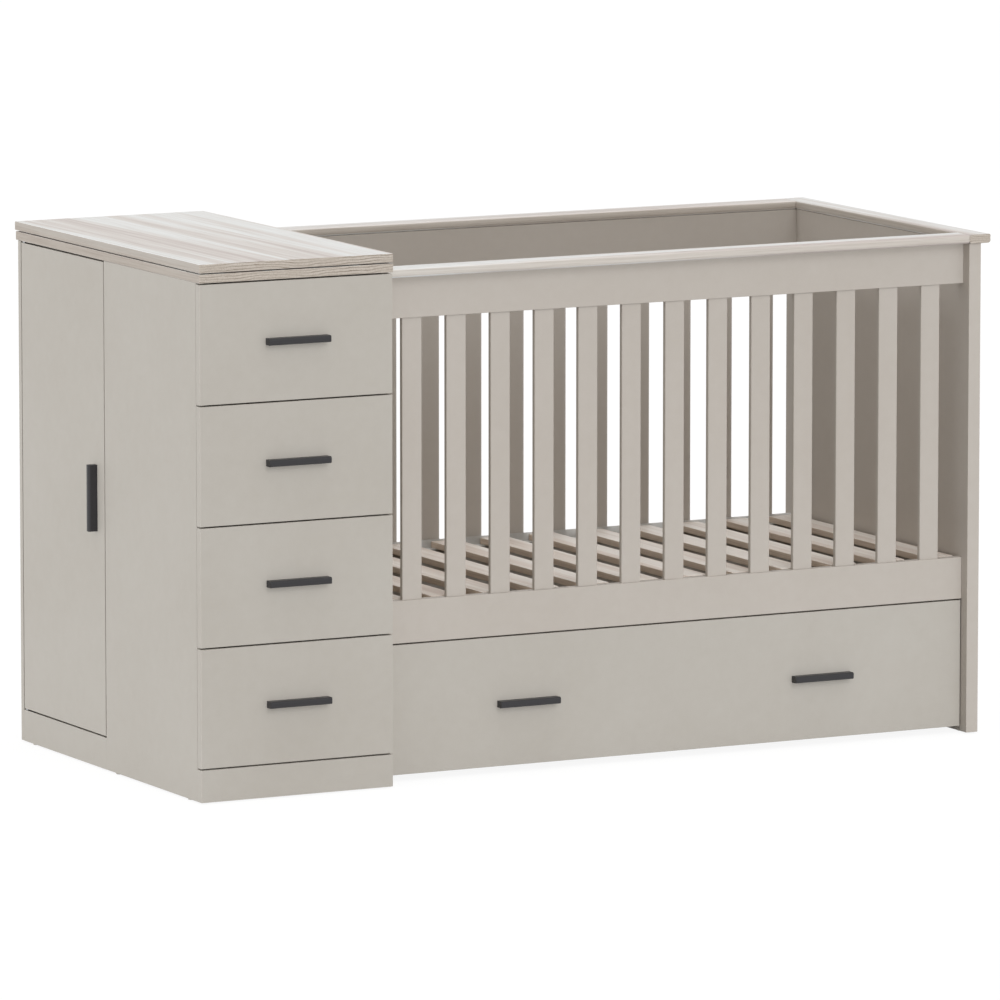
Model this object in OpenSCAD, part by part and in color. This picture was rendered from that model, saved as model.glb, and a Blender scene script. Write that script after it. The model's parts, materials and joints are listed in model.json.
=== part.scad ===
// Crib with an attached changing dresser.
// A narrow four-drawer dresser stands at the left end, with a cupboard behind the drawers that
// opens to the left. The crib's two slatted sides run from the dresser to a footboard, over a
// slatted mattress base and a wide drawer that rolls on the floor.
// X runs along the front from the dresser to the footboard, Y from front to back, Z up.
// Millimetres. The origin is on the floor, at the middle of the object's outer box.

/* [Dresser] */
// Width of the dresser along the front
dresser_w = 385; // [340:1:450]
// Depth of the dresser, from its drawer fronts to the rear face of its back panel
dresser_d = 778; // [740:1:860]
// Height of the dresser's panels, up to the underside of its lower top board
dresser_h = 941; // [900:1:1000]
// Thickness of the dresser's boards and of its drawer fronts and door
board_t = 16; // [15:0.5:19]
// Thickness of the dresser's back panel
back_t = 12; // [8:1:16]
// Depth of the drawer half, from the drawer fronts to the rear edge of the fixed left panel
drawer_bay_d = 402.5; // [390:0.5:430]
// Height of the plinth boards above the floor
plinth_h = 61; // [50:1:80]
// Overlap of the plinth boards on the dresser's bottom panel
plinth_lap = 4; // [3:0.5:6]
// Number of drawers in the dresser's column, which has four named drawers
drawer_n = 4; // [4:1:4]

/* [Top boards] */
// Thickness of each of the two top boards
top_t = 16; // [15:0.5:19]
// Gap between the two top boards
top_gap = 2; // [0.8:0.1:3]
// Overhang of both top boards over the dresser's right side
top_side_over = 2; // [1:0.5:5]
// Overhang of the lower top board behind the back panel
top_back_over = 10; // [5:1:20]
// How much further back the upper top board reaches
top_back_step = 4; // [2:0.5:6]
// Diameter of the pegs that locate the upper board on the lower one
peg_d = 8; // [6:0.5:9]
// Depth of each peg in each board
peg_in = 10; // [8:0.5:12]
// Diameter of each peg's collar
peg_collar_d = 16; // [13:0.5:20]
// Distance of the pegs from the edges of the top boards
peg_margin = 45; // [35:1:60]

/* [Fronts and gaps] */
// Gap between neighbouring fronts
reveal = 2.7; // [1.5:0.1:3]
// Gap between a closed front and the panel edges behind it
seat_gap = 0.5; // [0.3:0.1:1]
// Gap between the crib drawer's front and the panels at its two ends
crib_front_gap = 1.5; // [1:0.1:3]

/* [Dresser drawers] */
// Thickness of a drawer's sides and back
box_t = 12; // [12:0.5:15]
// Height of a drawer's sides
box_h = 150; // [120:1:165]
// Gap between the drawers' backs and the partition
box_back_gap = 20.5; // [5:0.5:80]
// Height of a drawer's sides above the lower edge of its front
box_rise = 25; // [20:1:35]
// Thickness of a dresser drawer's bottom panel
drawer_floor_t = 5; // [3:0.5:6]
// Height of the bottom panel's groove above the lower edge of the sides
groove_rise = 8; // [6:0.5:12]
// Depth of the grooves for the bottom panels
groove_d = 6; // [4:0.5:7]
// How far a dresser drawer pulls out
drawer_travel = 260; // [200:5:260]

/* [Runners] */
// Total thickness of a pair of runner members
runner_w = 12.5; // [12.5:0.1:14]
// Height of a runner
runner_h = 45; // [35:1:46]
// Sheet thickness of a runner
runner_t = 1.5; // [1.2:0.1:2]
// Running gap between a runner's two members
runner_gap = 0.3; // [0.2:0.05:0.5]
// Height of a runner's lower edge above the lower edge of the drawer's sides
runner_rise = 14; // [10:1:20]
// Distance of a runner's front end behind the panel's front edge
runner_setback = 3; // [2:0.5:6]
// Distance of a runner's rear end in front of the drawer's back
runner_short = 6.5; // [4:0.5:20]

/* [Cupboard and door] */
// Gap between the door and the back panel
door_gap = 2.5; // [2.2:0.1:4]
// Distance of the hinge axis from the door's outer face and from its rear edge
hinge_in = 5; // [4.5:0.1:5.5]
// Diameter of the hinge pins
hinge_pin_d = 4; // [3:0.1:4.5]
// Radial running clearance of the hinge pins
hinge_fit = 0.05; // [0.03:0.01:0.08]
// Length of the hinge pins inside the door
hinge_pin_l = 8; // [6:0.5:12]
// Thickness of the hinge plates
hinge_plate_t = 2; // [1.5:0.1:2.5]
// Width of the hinge plates
hinge_plate_w = 8; // [7:0.1:8.5]
// Length of the hinge plates
hinge_plate_l = 40; // [30:1:50]
// Clearance behind the door's inner face, where its hinge edge swings
door_relief = 2; // [1.6:0.1:3]
// Number of shelves in the cupboard
shelf_n = 2; // [1:1:3]
// Clearance around a shelf
shelf_gap = 1; // [0.6:0.1:2]
// Diameter of the shelf pins
shelf_pin_d = 5; // [4:0.5:6]
// Depth of a shelf pin in its panel
shelf_pin_in = 8; // [6:0.5:8]
// Length of a shelf pin under the shelf
shelf_pin_out = 9; // [7:0.5:12]
// Distance of the shelf pins from the cupboard's sides
shelf_pin_margin = 40; // [30:1:60]

/* [Crib] */
// Clear length of the crib, from the dresser to the footboard
crib_l = 1221; // [1205:1:1260]
// Height of the caps' upper faces above the dresser's panels
cap_rise = 2; // [-8:0.5:8]
// Thickness of the footboard
foot_t = 25; // [20:0.5:30]
// Distance of the footboard's front edge behind the drawer fronts
foot_y = 32; // [26:0.5:40]
// Distance of the footboard's rear edge in front of the dresser's rear face
foot_back = 48; // [30:0.5:60]
// Setback of the slatted sides from the footboard's edges
frame_setback = 21.5; // [15:0.5:25]
// Thickness of the rails of the slatted sides
frame_t = 18; // [16:0.5:22]
// Height of the top rails
top_rail_h = 76.5; // [60:0.5:90]
// Height of the bottom rails
low_rail_h = 78.5; // [70:0.5:90]
// Height of the bottom rails' lower edges above the floor
low_rail_z = 254; // [240:1:270]
// How much further down the back bottom rail reaches, behind the crib drawer
back_rail_drop = 50; // [40:1:70]
// Number of slats in each side
slat_n = 13; // [11:1:14]
// Width of a slat
slat_w = 40; // [34:0.5:42]
// Thickness of a slat
slat_t = 10; // [8:0.5:12]
// Rounding of a slat's long edges
slat_r = 2; // [1:0.5:3]
// Clear gap between the end slats and the panels
slat_margin = 48.5; // [45:0.5:60]
// Depth of the slats in their sockets in the rails
slat_in = 12; // [8:0.5:16]

/* [Caps] */
// Thickness of the caps
cap_t = 17; // [15:0.5:20]
// Width of the caps on the two slatted sides
cap_w = 48; // [44:0.5:52]
// Width of the cap on the footboard
end_cap_w = 45; // [40:0.5:50]
// How far the footboard's cap reaches over the crib
end_cap_in = 3; // [2:0.5:8]
// How far the caps reach past the footboard's front and rear edges
cap_over = 6; // [4:0.5:10]
// Rounding of the caps' upper edges
cap_r = 4; // [3:0.5:6]
// Rounding of the caps' lower edges
cap_low_r = 6.5; // [1:0.5:8]

/* [Mattress base] */
// Height of the mattress base's upper face above the floor
base_z = 333.5; // [330:0.5:350]
// Number of slats in the mattress base
base_slat_n = 12; // [10:1:13]
// Width of a mattress base slat
base_slat_w = 54; // [50:0.5:60]
// Thickness of a mattress base slat
base_slat_t = 12; // [10:0.5:15]
// Gap between the dresser and the first slat of the mattress base
base_first_gap = 10.5; // [1:0.5:14]
// Gap between the last slat of the mattress base and the footboard
base_last_gap = 7; // [5:0.5:25]
// Gap between the ends of the mattress base slats and the angles that carry them
base_end_gap = 0.5; // [0.3:0.1:1]
// Width of the angles' lower legs, under the mattress base slats
angle_w = 25; // [20:0.5:30]
// Sheet thickness of the angles
angle_t = 2; // [1.5:0.1:3]
// Height of the back angle's upright leg above the mattress base
angle_rise = 3; // [1:0.5:5]
// How far the front angle's upright leg stays below the mattress base's upper face
angle_drop = 3; // [2:0.5:5]

/* [Crib drawer] */
// Height of the crib drawer's front above the floor
crib_front_z = 12; // [8:0.5:20]
// Clearance between the crib drawer's sides and the panels beside them
crib_box_gap = 8; // [6:0.5:15]
// Clearance between the crib drawer's sides and the front bottom rail above them
crib_box_drop = 24; // [10:1:60]
// Height of the crib drawer's sides above the floor
crib_box_z = 30; // [26:0.5:34]
// Distance of the crib drawer's back in front of the rear rails
crib_back_gap = 31; // [10:0.5:60]
// Thickness of the crib drawer's bottom panel
crib_floor_t = 12; // [10:0.5:15]
// How far the crib drawer pulls out
crib_drawer_travel = 500; // [400:10:500]
// Height of the rails that guide the crib drawer's sides
guide_h = 30; // [20:1:40]
// Length of those rails
guide_l = 350; // [250:10:400]
// Height of those rails above the floor
guide_z = 100; // [80:1:120]
// Running gap between those rails and the drawer's sides
guide_gap = 0.3; // [0.2:0.05:0.5]

/* [Castors] */
// Diameter of a castor wheel
wheel_d = 44; // [38:1:48]
// Width of a castor wheel
wheel_w = 18; // [14:0.5:22]
// Rounding of a wheel's tread
tread_r = 3; // [2:0.5:4]
// Depth of a wheel's rim
rim_t = 6; // [5:0.5:8]
// Diameter of a wheel's hub
hub_d = 15; // [13:0.5:18]
// Thickness of a wheel's web between rim and hub
web_t = 7; // [5:0.5:9]
// Diameter of a castor's axle
axle_d = 6; // [5:0.5:8]
// Radial running clearance of a wheel on its axle
axle_fit = 0.05; // [0.03:0.01:0.08]
// Sheet thickness of a castor fork
fork_t = 2; // [1.5:0.1:2.5]
// Gap between a wheel and its fork's cheeks
fork_gap = 0.8; // [0.5:0.1:1.5]
// Height of the castors, from the floor to their mounting face
castor_h = 57; // [53:0.5:60]
// Distance of the castors' axles from the drawer's ends, along X and along Y
castor_margin = 80; // [60:1:120]

/* [Handles] */
// Length of a handle
handle_l = 123; // [110:1:150]
// Height of a handle
handle_h = 12.5; // [11:0.5:13]
// How far a handle stands out from its front
handle_out = 17.5; // [14.5:0.5:20]
// Thickness of a handle's flange
handle_t = 5.5; // [3.5:0.5:6]
// Thickness of a handle's lip
handle_lip_t = 4.5; // [4:0.5:5]
// Rounding of the lip's outer edges
handle_nose_r = 4; // [2:0.5:4]
// Rounding inside a handle's channel
handle_r = 5; // [3:0.5:5]
// Distance between a handle's two screws
handle_pitch = 96; // [80:1:100]
// Distance of a handle's hollow from the axes of its screws
hollow_margin = 6; // [5:0.5:8]
// Diameter of the handle screws
screw_d = 4; // [3:0.1:4.5]
// Diameter of the handle screws' heads
screw_head_d = 8; // [7:0.5:10]
// Height of the handle screws' heads
screw_head_h = 2.2; // [1.8:0.1:3]
// Length of the cross recess in those heads
screw_cross_l = 4.5; // [3:0.1:5]
// Depth of the handle screws in the handle's solid ends
screw_in = 10; // [8:0.5:10]
// Distance of the door handle's axis from the door's front edge
door_handle_in = 36.5; // [30:0.5:50]
// Distance between the middles of the crib drawer's two handles
crib_handle_pitch = 617; // [560:1:680]
// How far the crib drawer's handles lie below the middle of its front
crib_handle_drop = 4; // [0:0.5:10]

/* [Fittings] */
// Clearance of fixed fittings in their holes
fit_gap = 0.1; // [0.05:0.01:0.2]
// Diameter of the cam locks
cam_d = 15; // [14:0.5:16]
// Depth of the cam locks in their boards
cam_h = 12.5; // [12:0.1:13]
// Distance from a cam lock's centre to the edge of its board
cam_in = 24; // [20:0.5:34]
// Diameter of the cam locks' bolts
cam_bolt_d = 6; // [5:0.5:7]
// Depth of the cam locks' bolts in the neighbouring board
cam_bolt_in = 10; // [8:0.5:11]
// Length of the cross recess in a cam lock
cam_cross_l = 8; // [6:0.5:10]
// Width of the cross recesses
cross_w = 1.2; // [1:0.1:1.5]
// Depth of the cross recesses
cross_in = 1.4; // [1:0.1:1.6]
// Diameter of the bolts that hold the slatted sides
bolt_d = 6; // [5:0.5:7]
// Diameter of the bolts' heads
bolt_head_d = 13; // [11:0.5:15]
// Height of the bolts' heads
bolt_head_h = 3; // [2:0.1:4]
// Diameter across the corners of the hexagon sockets in those heads
socket_d = 4.6; // [4:0.1:5]
// Depth of the hexagon sockets
socket_in = 2.5; // [2:0.1:4]
// Distance from a rail's end to its barrel nut's axis
nut_in = 30; // [20:1:40]
// How far a bolt passes its barrel nut's axis
bolt_past = 8; // [5.5:0.5:10]
// Diameter of the barrel nuts
nut_d = 10; // [9:0.5:12]
// Length of the barrel nuts
nut_l = 15; // [13:0.5:15.5]
// Height of the plastic glides under the panels
glide_h = 2; // [1.5:0.1:4]
// Diameter of the glides
glide_d = 14; // [10:0.5:15]
// Distance of the glides from the ends of their panels
glide_margin = 40; // [30:1:60]

/* [Hidden] */
$fn = 48;
past = 1; // how far a cut runs past the face it opens in

// Dresser planes
panel_y = board_t + seat_gap;
in_x = [board_t, dresser_w - board_t];
back_y = dresser_d - back_t;
bottom_z = [plinth_h - plinth_lap, plinth_h - plinth_lap + board_t];
partition_y = [drawer_bay_d - board_t, drawer_bay_d];
top_x = [0, dresser_w + top_side_over];
lower_z = [dresser_h, dresser_h + top_t];
upper_z = [lower_z[1] + top_gap, lower_z[1] + top_gap + top_t];
lower_y = [0, dresser_d + top_back_over];
upper_y = [0, lower_y[1] + top_back_step];

// Drawer fronts: equal heights, with a reveal above and below each
front_h = (dresser_h - plinth_h - (drawer_n + 1) * reveal) / drawer_n;
function front_z(k) = plinth_h + reveal + (drawer_n - k) * (front_h + reveal);
box_x = [in_x[0] + runner_w, in_x[1] - runner_w];
box_y = [board_t, partition_y[0] - box_back_gap];
runner_y = [panel_y + runner_setback, box_y[1] - runner_short];

// Door and cupboard
door_y = [drawer_bay_d + reveal, back_y - door_gap];
door_z = [plinth_h + reveal, dresser_h - reveal];
hinge_x = hinge_in;
hinge_y = door_y[1] - hinge_in;
shelf_step = (dresser_h - bottom_z[1]) / (shelf_n + 1);
function shelf_z(i) = bottom_z[1] + i * shelf_step;

// Crib planes
foot_x = [dresser_w + crib_l, dresser_w + crib_l + foot_t];
foot_yy = [foot_y, dresser_d - foot_back];
rail_x = [dresser_w, foot_x[0]];
front_frame_y = [foot_yy[0] + frame_setback, foot_yy[0] + frame_setback + frame_t];
back_frame_y = [foot_yy[1] - frame_setback - frame_t, foot_yy[1] - frame_setback];
cap_z = [dresser_h + cap_rise - cap_t, dresser_h + cap_rise];
top_rail_z = [cap_z[0] - top_rail_h, cap_z[0]];
low_rail_zz = [low_rail_z, low_rail_z + low_rail_h];
back_low_rail_zz = [low_rail_z - back_rail_drop, low_rail_zz[1]];
end_cap_x = [foot_x[0] - end_cap_in, foot_x[0] - end_cap_in + end_cap_w];
cap_y = [foot_yy[0] - cap_over, foot_yy[1] + cap_over];
slat_step = (crib_l - 2 * slat_margin - slat_w) / (slat_n - 1);
base_y = [front_frame_y[1] + angle_t + base_end_gap, back_frame_y[0] - angle_t - base_end_gap];
base_step = (crib_l - base_first_gap - base_last_gap - base_slat_w) / (base_slat_n - 1);
base_zz = [base_z - base_slat_t, base_z];

// Crib drawer
crib_front_x = [rail_x[0] + crib_front_gap, rail_x[1] - crib_front_gap];
crib_front_y = [front_frame_y[0], front_frame_y[0] + board_t];
crib_front_zz = [crib_front_z, low_rail_z - reveal];
crib_box_x = [rail_x[0] + crib_box_gap, rail_x[1] - crib_box_gap];
crib_box_y = [crib_front_y[1], back_frame_y[0] - crib_back_gap];
crib_box_h = low_rail_z - crib_box_drop - crib_box_z;
castor_x = [crib_box_x[0] + castor_margin, crib_box_x[1] - castor_margin];
castor_y = [crib_box_y[0] + castor_margin, crib_box_y[1] - castor_margin];

// Handles: the hollow stretch along X, between the solid ends that take the screws
hollow_x = [-handle_pitch / 2 + hollow_margin, handle_pitch / 2 - hollow_margin];

// Middle of the outer box, handles and caps included
mid_x = (end_cap_x[1] - handle_out) / 2;
mid_y = (upper_y[1] - handle_out) / 2;

// ---- shared shapes ----

// A box between two X, two Y and two Z values
module slab(x, y, z) translate([x[0], y[0], z[0]]) cube([x[1] - x[0], y[1] - y[0], z[1] - z[0]]);

// A rectangle from the origin with true arcs at its corners
module round_rect(w, h, r) {
    translate([r, 0]) square([w - 2 * r, h]);
    translate([0, r]) square([w, h - 2 * r]);
    for (x = [r, w - r], y = [r, h - r]) translate([x, y]) circle(r);
}

// A cap's section of width w, rounder above than below
module cap_section(w) {
    translate([cap_low_r, 0]) square([w - 2 * cap_low_r, cap_t - cap_r]);
    translate([0, cap_low_r]) square([w, cap_t - cap_low_r - cap_r]);
    translate([cap_r, cap_low_r]) square([w - 2 * cap_r, cap_t - cap_low_r]);
    for (x = [cap_low_r, w - cap_low_r]) translate([x, cap_low_r]) circle(cap_low_r);
    for (x = [cap_r, w - cap_r]) translate([x, cap_t - cap_r]) circle(cap_r);
}

// A cross recess of length l in a face at Z = 0, cut downwards
module cross_recess(l) for (turn = [0, 90]) rotate([0, 0, turn])
    slab([-l / 2, l / 2], [-cross_w / 2, cross_w / 2], [-cross_in, past]);

// A rod of diameter d from the origin along +X
module rod_x(d, l) rotate([0, 90, 0]) cylinder(d = d, h = l);

// A rod of diameter d from the origin along +Y
module rod_y(d, l) rotate([-90, 0, 0]) cylinder(d = d, h = l);

// Finishes, each with the shift that puts the origin in the middle of the outer box
module painted() color("#bab5ad") translate([-mid_x, -mid_y, 0]) children();
module timber() color("#d9d2c8") translate([-mid_x, -mid_y, 0]) children();
module charcoal() color("#45474b") translate([-mid_x, -mid_y, 0]) children();
module steel() color("#b4b6b8") translate([-mid_x, -mid_y, 0]) children();
module lining() color("#e6e3dd") translate([-mid_x, -mid_y, 0]) children();
module plastic() color("#3a3a3c") translate([-mid_x, -mid_y, 0]) children();
module pale_plastic() color("#c4bfb6") translate([-mid_x, -mid_y, 0]) children();

// ---- fittings that sit in the boards ----

// Cam lock in a face at Z = 0, with its bolt along +X through the board's edge
module cam_unit(grow) {
    translate([0, 0, -cam_h - grow]) cylinder(d = cam_d + 2 * grow, h = cam_h + grow);
    translate([0, 0, -board_t / 2])
        rod_x(cam_bolt_d + 2 * grow, cam_in + cam_bolt_in + grow);
}

// Places of the cams in the bottom panel's underside, three at the right side and two at the left
module at_bottom_cams() {
    for (y = [panel_y + cam_in * 2, drawer_bay_d - cam_in * 3, back_y - cam_in * 2])
        translate([in_x[1] - cam_in, y, bottom_z[0]]) rotate([180, 0, 0]) children();
    for (y = [panel_y + cam_in * 2, drawer_bay_d - cam_in * 3])
        translate([in_x[0] + cam_in, y, bottom_z[0]]) rotate([0, 180, 0]) children();
}

// Places of the cams in the partition's rear face, three at each end
module at_partition_cams() for (i = [1 : 3]) {
    z = bottom_z[1] + i * (dresser_h - bottom_z[1]) / 4;
    translate([in_x[1] - cam_in, partition_y[1], z]) rotate([-90, 0, 0]) children();
    translate([in_x[0] + cam_in, partition_y[1], z]) rotate([-90, 180, 0]) children();
}

// Places of the cams in the side panels' inner faces, which draw the lower top board down
module at_top_cams() {
    for (y = [panel_y + cam_in * 2, drawer_bay_d - cam_in * 2])
        translate([in_x[0], y, dresser_h - cam_in]) rotate([0, -90, 180]) children();
    for (y = [panel_y + cam_in * 2, drawer_bay_d - cam_in * 2, back_y - cam_in * 3])
        translate([in_x[1], y, dresser_h - cam_in]) rotate([0, -90, 0]) children();
}

// Bores for those cams and their bolts
module bottom_cam_bores() at_bottom_cams() cam_unit(fit_gap);
module partition_cam_bores() at_partition_cams() cam_unit(fit_gap);
module top_cam_bores() at_top_cams() cam_unit(fit_gap);

// Centres of the pegs between the two top boards
module at_pegs() for (x = [peg_margin, top_x[1] - peg_margin],
        y = [peg_margin, lower_y[1] / 2, lower_y[1] - peg_margin])
    translate([x, y, lower_z[1]]) children();

// Centres of the shelf pins on the partition (side 0) and on the back panel (side 1)
module at_shelf_pins(side) for (i = [1 : shelf_n], x = [in_x[0] + shelf_pin_margin,
        in_x[1] - shelf_pin_margin])
    translate([x, side == 0 ? partition_y[1] : back_y,
        shelf_z(i) - shelf_pin_d / 2 - fit_gap]) children();

// Bolt lines of the four rails: Y and Z of each rail's middle
rail_lines = [
    [(front_frame_y[0] + front_frame_y[1]) / 2, (top_rail_z[0] + top_rail_z[1]) / 2],
    [(front_frame_y[0] + front_frame_y[1]) / 2, (low_rail_zz[0] + low_rail_zz[1]) / 2],
    [(back_frame_y[0] + back_frame_y[1]) / 2, (top_rail_z[0] + top_rail_z[1]) / 2],
    [(back_frame_y[0] + back_frame_y[1]) / 2, (low_rail_zz[0] + low_rail_zz[1]) / 2]
];

// A rail bolt from its head at the origin along +X, through a panel of thickness t
module rail_bolt(t, grow) {
    rod_x(bolt_head_d + 2 * grow, bolt_head_h);
    rod_x(bolt_d + 2 * grow, t + nut_in + bolt_past + grow);
}

// Heads of the bolts from inside the dresser into the rails' left ends
module at_dresser_bolts() for (p = rail_lines) translate([in_x[1], p[0], p[1]]) children();

// Heads of the bolts from outside the footboard into the rails' right ends
module at_foot_bolts() for (p = rail_lines)
    translate([foot_x[1], p[0], p[1]]) mirror([1, 0, 0]) children();

// Bores for those bolts
module dresser_bolt_bores() at_dresser_bolts() rail_bolt(board_t, fit_gap);
module foot_bolt_bores() at_foot_bolts() rail_bolt(foot_t, fit_gap);

// Barrel nuts across the rails, set in from the rails' rear faces
module nuts(grow, bore) for (p = rail_lines, x = [rail_x[0] + nut_in, rail_x[1] - nut_in])
    translate([x, p[0] + frame_t / 2, p[1]]) mirror([0, 1, 0]) difference() {
        rod_y(nut_d + 2 * grow, nut_l + grow);
        if (bore) translate([-nut_d, frame_t / 2, 0]) rod_x(bolt_d + 2 * fit_gap, nut_d * 2);
    }

// ---- dresser ----

module left_side_panel() painted() difference() {
    slab([0, board_t], [panel_y, drawer_bay_d], [glide_h, dresser_h]);
    bottom_cam_bores();
    partition_cam_bores();
    top_cam_bores();
}

module right_side_panel() painted() difference() {
    slab([in_x[1], dresser_w], [panel_y, back_y], [glide_h, dresser_h]);
    bottom_cam_bores();
    partition_cam_bores();
    top_cam_bores();
    dresser_bolt_bores();
}

module back_panel() painted() difference() {
    slab([0, dresser_w], [back_y, dresser_d], [glide_h, dresser_h]);
    at_shelf_pins(1) rod_y(shelf_pin_d + 2 * fit_gap, shelf_pin_in + fit_gap);
}

module bottom_panel() painted() difference() {
    slab(in_x, [panel_y, back_y], bottom_z);
    slab([in_x[0] - past, in_x[0] + door_relief], [drawer_bay_d, back_y + past],
        [bottom_z[0] - past, bottom_z[1] + past]);
    bottom_cam_bores();
}

module partition_panel() painted() difference() {
    slab(in_x, partition_y, [bottom_z[1], dresser_h]);
    partition_cam_bores();
    at_shelf_pins(0) mirror([0, 1, 0])
        rod_y(shelf_pin_d + 2 * fit_gap, shelf_pin_in + fit_gap);
}

module front_plinth() painted()
    slab([0, dresser_w], [seat_gap, panel_y], [glide_h, plinth_h]);

module side_plinth() painted() difference() {
    slab([0, board_t], [drawer_bay_d, back_y], [glide_h, plinth_h]);
    translate([0, 0, plinth_h - hinge_plate_t]) hinge_pocket();
}

module cupboard_shelves() painted() for (i = [1 : shelf_n])
    slab([in_x[0] + door_relief, in_x[1] - shelf_gap],
        [partition_y[1] + shelf_gap, back_y - shelf_gap], [shelf_z(i), shelf_z(i) + board_t]);

module shelf_pins() steel() {
    at_shelf_pins(0) translate([0, -shelf_pin_in, 0])
        rod_y(shelf_pin_d, shelf_pin_in + shelf_pin_out);
    at_shelf_pins(1) translate([0, -shelf_pin_out, 0])
        rod_y(shelf_pin_d, shelf_pin_in + shelf_pin_out);
}

module dresser_top() timber() difference() {
    slab(top_x, lower_y, lower_z);
    top_cam_bores();
    at_pegs() translate([0, 0, -peg_in - fit_gap])
        cylinder(d = peg_d + 2 * fit_gap, h = peg_in + past);
    translate([0, 0, dresser_h]) hinge_pocket();
}

module changer_top() timber() difference() {
    slab(top_x, upper_y, upper_z);
    at_pegs() cylinder(d = peg_d + 2 * fit_gap, h = top_gap + peg_in + fit_gap);
}

module top_pegs() plastic() at_pegs() {
    translate([0, 0, -peg_in]) cylinder(d = peg_d, h = 2 * peg_in + top_gap);
    cylinder(d = peg_collar_d, h = top_gap);
}

// A cam lock with the recess for its screwdriver
module cam_lock() difference() {
    cam_unit(0);
    cross_recess(cam_cross_l);
}

module panel_cams() steel() {
    at_bottom_cams() cam_lock();
    at_partition_cams() cam_lock();
    at_top_cams() cam_lock();
}

// ---- runners ----

// Fixed member at the left panel: a channel that opens towards the drawer
module rail_section() difference() {
    square([runner_w - runner_t, runner_h]);
    translate([runner_t, runner_t]) square([runner_w, runner_h - 2 * runner_t]);
}

// Moving member at the left side of the drawer: a channel inside the fixed one
module slide_section() {
    lap = runner_t + runner_gap;
    difference() {
        translate([lap, lap]) square([runner_w - lap, runner_h - 2 * lap]);
        translate([0, lap + runner_t])
            square([runner_w - runner_t, runner_h - 2 * (lap + runner_t)]);
    }
}

// A pair of runner members for drawer k, extruded from their section at the left panel
module runner_pair(k) {
    lift = front_z(k) + box_rise + runner_rise;
    for (side = [0, 1])
        translate([side == 0 ? in_x[0] : in_x[1], runner_y[1], lift])
            mirror([side, 0, 0]) rotate([90, 0, 0])
                linear_extrude(runner_y[1] - runner_y[0]) children();
}

// The rails that guide the crib drawer, on the right panel and on the footboard
module guide_rails() {
    y = [crib_front_y[1] + runner_setback, crib_front_y[1] + runner_setback + guide_l];
    z = [guide_z, guide_z + guide_h];
    slab([rail_x[0], crib_box_x[0] - guide_gap], y, z);
    slab([crib_box_x[1] + guide_gap, rail_x[1]], y, z);
}

module runner_rails() steel() {
    for (k = [1 : drawer_n]) runner_pair(k) rail_section();
    guide_rails();
}

// ---- dresser drawers ----

// The slot that a bottom panel of thickness t stands in, for a box between x and y
module floor_slot(x, y, z, t) slab([x[0] + box_t - groove_d, x[1] - box_t + groove_d],
    [y[0] - groove_d, y[1] + past], [z, z + t + 2 * fit_gap]);

// The bottom panel in that slot
module floor_panel(x, y, z, t) slab(
    [x[0] + box_t - groove_d + fit_gap, x[1] - box_t + groove_d - fit_gap],
    [y[0] - groove_d + fit_gap, y[1]], [z + fit_gap, z + fit_gap + t]);

// Sides and back of a drawer box between x and y, of height h from z, over a floor of thickness t
module drawer_walls(x, y, z, h, rise, t) {
    difference() {
        for (side = [[x[0], x[0] + box_t], [x[1] - box_t, x[1]]]) slab(side, y, [z, z + h]);
        floor_slot(x, y, z + rise, t);
    }
    slab([x[0] + box_t, x[1] - box_t], [y[1] - box_t, y[1]],
        [z + rise + t + 2 * fit_gap, z + h]);
}

module drawer_front(k) painted() difference() {
    slab([0, dresser_w], [0, board_t], [front_z(k), front_z(k) + front_h]);
    floor_slot(box_x, [box_y[0], box_y[0]], front_z(k) + box_rise + groove_rise,
        drawer_floor_t);
    at_handle(k) handle_holes(board_t);
}

module drawer_box(k) lining()
    drawer_walls(box_x, box_y, front_z(k) + box_rise, box_h, groove_rise, drawer_floor_t);

module drawer_bottom(k) lining()
    floor_panel(box_x, box_y, front_z(k) + box_rise + groove_rise, drawer_floor_t);

module drawer_handle(k) charcoal() at_handle(k) pull(board_t);
module drawer_runners(k) steel() runner_pair(k) slide_section();

// ---- handles ----

// Outline of a handle's section: its back on the line X = 0 and its rounded lip at +X
module pull_outline() {
    flat_x = handle_out - handle_nose_r;
    flat_y = handle_h / 2 - handle_nose_r;
    translate([0, -handle_h / 2]) square([flat_x, handle_h]);
    translate([0, -flat_y]) square([handle_out, 2 * flat_y]);
    for (y = [-flat_y, flat_y]) translate([flat_x, y]) circle(handle_nose_r);
}

// The finger space under a handle's flange and behind its lip
module pull_hollow() {
    lip_x = handle_out - handle_lip_t;
    flange_y = handle_h / 2 - handle_t;
    translate([-past, -handle_h]) square([past + lip_x - handle_r, handle_h + flange_y]);
    translate([-past, -handle_h]) square([past + lip_x, handle_h + flange_y - handle_r]);
    translate([lip_x - handle_r, flange_y - handle_r]) circle(handle_r);
}

// A handle's section drawn out along X between two places
module along_handle(x) translate([x[0], 0, 0]) rotate([90, 0, 90])
    linear_extrude(x[1] - x[0]) mirror([1, 0]) children();

// A handle centred on the origin of a front's outer face, pointing to -Y, with its two screws
// through a front of thickness t
module pull(t) {
    difference() {
        along_handle([-handle_l / 2, handle_l / 2]) pull_outline();
        along_handle(hollow_x) pull_hollow();
        for (s = [-1, 1]) translate([s * handle_pitch / 2, -screw_in - fit_gap, 0])
            rod_y(screw_d + 2 * fit_gap, screw_in + fit_gap + past);
    }
    for (s = [-1, 1]) translate([s * handle_pitch / 2, 0, 0]) {
        translate([0, -screw_in, 0]) rod_y(screw_d, screw_in + t + past);
        translate([0, t, 0]) difference() {
            rod_y(screw_head_d, screw_head_h);
            translate([0, screw_head_h, 0]) rotate([-90, 0, 0]) cross_recess(screw_cross_l);
        }
    }
}

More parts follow.
